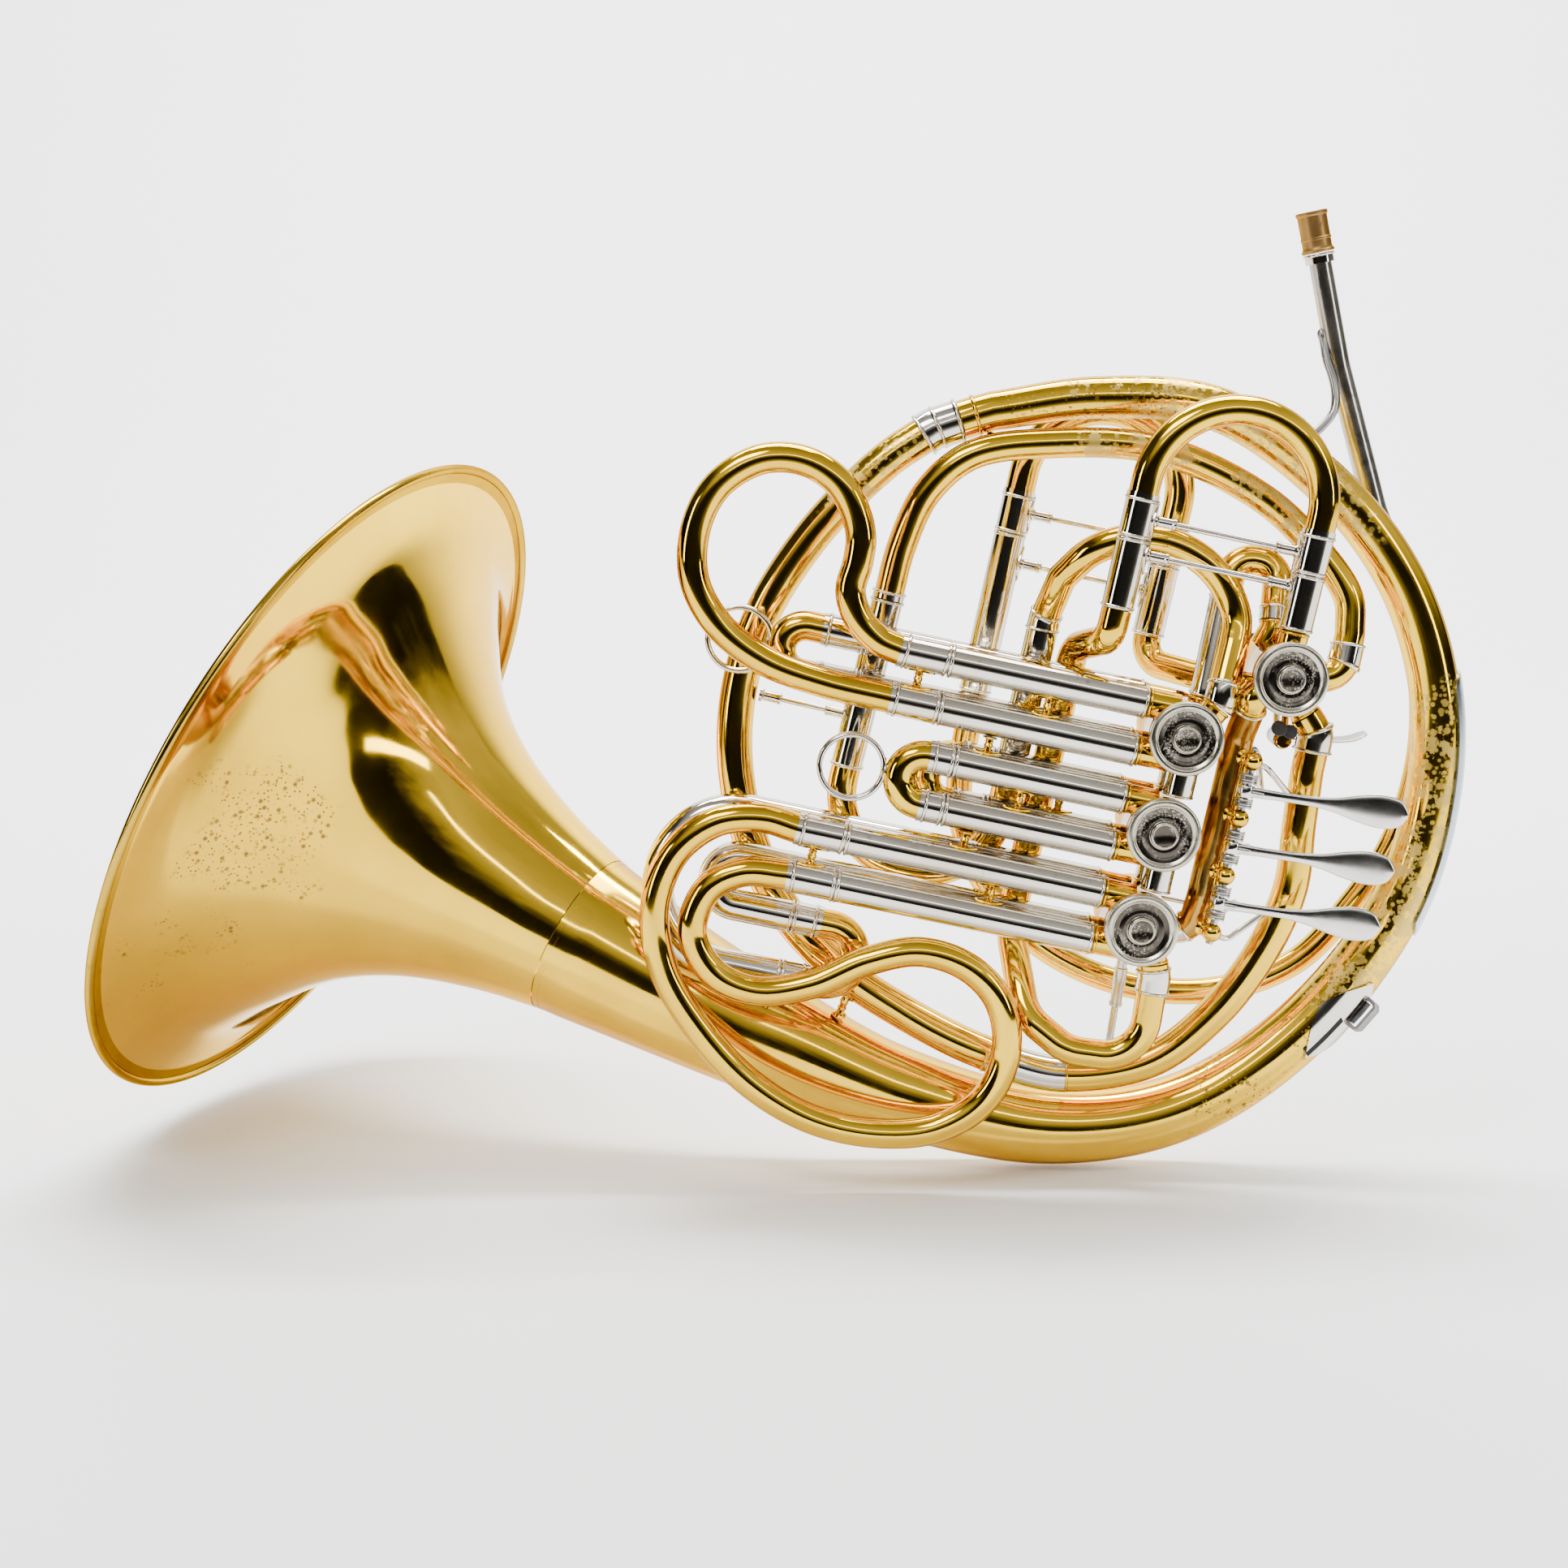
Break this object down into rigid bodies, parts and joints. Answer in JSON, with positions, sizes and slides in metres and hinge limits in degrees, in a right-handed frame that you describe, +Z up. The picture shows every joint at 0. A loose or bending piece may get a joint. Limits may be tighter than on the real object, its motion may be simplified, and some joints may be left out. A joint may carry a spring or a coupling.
{
  "type": "french horn",
  "caption": "Double horn with a flared bell, four rotary valves with finger and thumb levers, nested tubing and eight pull-out slides.",
  "frame": {"origin": "lowest point of the bell tail, where the horn rests in its holder", "axes": "+Z up as the horn stands, the bell to -X and the valve levers to +X, +Y from the valves towards the back of the horn"},
  "size_m": [0.5737, 0.2953, 0.3989],
  "materials": {
    "brass": "lacquered, polished, worn in places",
    "nickel": "polished nickel silver",
    "steel": "polished",
    "cap": "plated, tarnished with dark specks",
    "aged_brass": "bare, tarnished"
  },
  "bodies": {
    "horn": {"bell_flare": "brass", "bell_tail": "brass", "first_branch": "brass", "leadpipe": "nickel", "mouthpiece_receiver": "aged_brass", "f_branch": "brass", "return_loop": "nickel", "inverted_crook": "brass", "small_crook": "brass", "third_valve_loop": "brass", "bypass_tube": "brass", "main_elbow": "brass", "valve_casing_1": "brass", "valve_casing_2": "brass", "valve_casing_3": "brass", "valve_casing_4": "brass", "valve_cap_1": "cap", "valve_cap_2": "cap", "valve_cap_3": "cap", "valve_cap_4": "cap", "lever_rail": "brass", "lever_spring_1": "steel", "lever_spring_2": "steel", "lever_spring_3": "steel", "thumb_bracket": "brass", "slide_f1_legs": "nickel", "slide_f2_legs": "nickel", "slide_f3_legs": "nickel", "slide_b1_legs": "nickel", "slide_b2_legs": "nickel", "slide_b3_legs": "nickel", "tuning_f_legs": "nickel", "tuning_main_legs": "nickel", "ring_guard": "nickel", "hook_plate": "nickel"},
    "lever_1": {"lever_1": "nickel"},
    "lever_2": {"lever_2": "nickel"},
    "lever_3": {"lever_3": "nickel"},
    "thumb_lever": {"thumb_lever": "nickel"},
    "rotor_1": {"rotor_1": "brass", "stop_arm_1": "steel"},
    "link_1": {"link_1": "steel"},
    "rotor_2": {"rotor_2": "brass", "stop_arm_2": "steel"},
    "link_2": {"link_2": "steel"},
    "rotor_3": {"rotor_3": "brass", "stop_arm_3": "steel"},
    "link_3": {"link_3": "steel"},
    "rotor_4": {"rotor_4": "brass", "stop_arm_4": "steel"},
    "link_4": {"link_4": "steel"},
    "slide_f1_crook": {"slide_f1_crook": "brass"},
    "slide_f2_crook": {"slide_f2_crook": "brass"},
    "slide_f3_crook": {"slide_f3_crook": "brass"},
    "slide_b1_crook": {"slide_b1_crook": "brass"},
    "slide_b2_crook": {"slide_b2_crook": "brass"},
    "slide_b3_crook": {"slide_b3_crook": "brass"},
    "tuning_f_crook": {"tuning_f_crook": "brass"},
    "tuning_main_crook": {"tuning_main_crook": "brass"}
  },
  "joints": [
    {"name": "lever_1_hinge", "type": "hinge", "parent": "horn", "child": "lever_1", "pos_m": [0.06771, -0.037, 0.16651], "axis": [0.2079, 0, 0.9781], "range_deg": [0, 14], "stiffness_Nm_per_rad": 0.12, "springref_deg": -25.78},
    {"name": "lever_2_hinge", "type": "hinge", "parent": "horn", "child": "lever_2", "pos_m": [0.0628, -0.037, 0.14343], "axis": [0.2079, 0, 0.9781], "range_deg": [0, 14], "stiffness_Nm_per_rad": 0.12, "springref_deg": -25.78},
    {"name": "lever_3_hinge", "type": "hinge", "parent": "horn", "child": "lever_3", "pos_m": [0.05789, -0.037, 0.12034], "axis": [0.2079, 0, 0.9781], "range_deg": [0, 14], "stiffness_Nm_per_rad": 0.12, "springref_deg": -25.78},
    {"name": "thumb_lever_hinge", "type": "hinge", "parent": "horn", "child": "thumb_lever", "pos_m": [0.08753, 0.002, 0.18285], "axis": [0, 1, 0], "range_deg": [0, 26], "stiffness_Nm_per_rad": 0.08, "springref_deg": -40.11},
    {"name": "rotor_1_turn", "type": "hinge", "parent": "horn", "child": "rotor_1", "pos_m": [0.04185, -0.024, 0.18918], "axis": [0, 1, 0], "range_deg": [0, 90.2]},
    {"name": "link_1_pin", "type": "hinge", "parent": "rotor_1", "child": "link_1", "pos_m": [0.04594, 0.0093, 0.18289], "axis": [0, 1, 0], "range_deg": [-90.2, 0]},
    {"name": "rotor_2_turn", "type": "hinge", "parent": "horn", "child": "rotor_2", "pos_m": [0.0336, -0.024, 0.15035], "axis": [0, 1, 0], "range_deg": [0, 90.2]},
    {"name": "link_2_pin", "type": "hinge", "parent": "rotor_2", "child": "link_2", "pos_m": [0.03768, 0.0093, 0.14406], "axis": [0, 1, 0], "range_deg": [-90.2, 0]},
    {"name": "rotor_3_turn", "type": "hinge", "parent": "horn", "child": "rotor_3", "pos_m": [0.02535, -0.024, 0.11152], "axis": [0, 1, 0], "range_deg": [-90.2, 0]},
    {"name": "link_3_pin", "type": "hinge", "parent": "rotor_3", "child": "link_3", "pos_m": [0.03164, 0.0093, 0.1156], "axis": [0, 1, 0], "range_deg": [0, 90.2]},
    {"name": "rotor_4_turn", "type": "hinge", "parent": "horn", "child": "rotor_4", "pos_m": [0.08272, -0.024, 0.21311], "axis": [0, 1, 0], "range_deg": [-90.2, 0]},
    {"name": "link_4_pin", "type": "hinge", "parent": "rotor_4", "child": "link_4", "pos_m": [0.07643, 0.0093, 0.20902], "axis": [0, 1, 0], "range_deg": [0, 90.2]},
    {"name": "slide_f1_pull", "type": "slide", "parent": "horn", "child": "slide_f1_crook", "axis": [-0.9781, 0, 0.2079], "range_m": [0, 0.06]},
    {"name": "slide_f2_pull", "type": "slide", "parent": "horn", "child": "slide_f2_crook", "axis": [-0.9781, 0, 0.2079], "range_m": [0, 0.05]},
    {"name": "slide_f3_pull", "type": "slide", "parent": "horn", "child": "slide_f3_crook", "axis": [-0.9781, 0, 0.2079], "range_m": [0, 0.06]},
    {"name": "slide_b1_pull", "type": "slide", "parent": "horn", "child": "slide_b1_crook", "axis": [-0.9781, 0, 0.2079], "range_m": [0, 0.04]},
    {"name": "slide_b2_pull", "type": "slide", "parent": "horn", "child": "slide_b2_crook", "axis": [-0.9781, 0, 0.2079], "range_m": [0, 0.035]},
    {"name": "slide_b3_pull", "type": "slide", "parent": "horn", "child": "slide_b3_crook", "axis": [0.9781, 0, -0.2079], "range_m": [0, 0.018]},
    {"name": "tuning_f_pull", "type": "slide", "parent": "horn", "child": "tuning_f_crook", "axis": [0.2079, 0, 0.9781], "range_m": [0, 0.018]},
    {"name": "tuning_main_pull", "type": "slide", "parent": "horn", "child": "tuning_main_crook", "axis": [0.2079, 0, 0.9781], "range_m": [0, 0.025]}
  ],
  "couplings": [
    {"joint": "rotor_1_turn", "follows": "lever_1_hinge", "ratio": 6.4286},
    {"joint": "link_1_pin", "follows": "lever_1_hinge", "ratio": -6.4286},
    {"joint": "rotor_2_turn", "follows": "lever_2_hinge", "ratio": 6.4286},
    {"joint": "link_2_pin", "follows": "lever_2_hinge", "ratio": -6.4286},
    {"joint": "rotor_3_turn", "follows": "lever_3_hinge", "ratio": -6.4286},
    {"joint": "link_3_pin", "follows": "lever_3_hinge", "ratio": 6.4286},
    {"joint": "rotor_4_turn", "follows": "thumb_lever_hinge", "ratio": -3.4615},
    {"joint": "link_4_pin", "follows": "thumb_lever_hinge", "ratio": 3.4615}
  ]
}
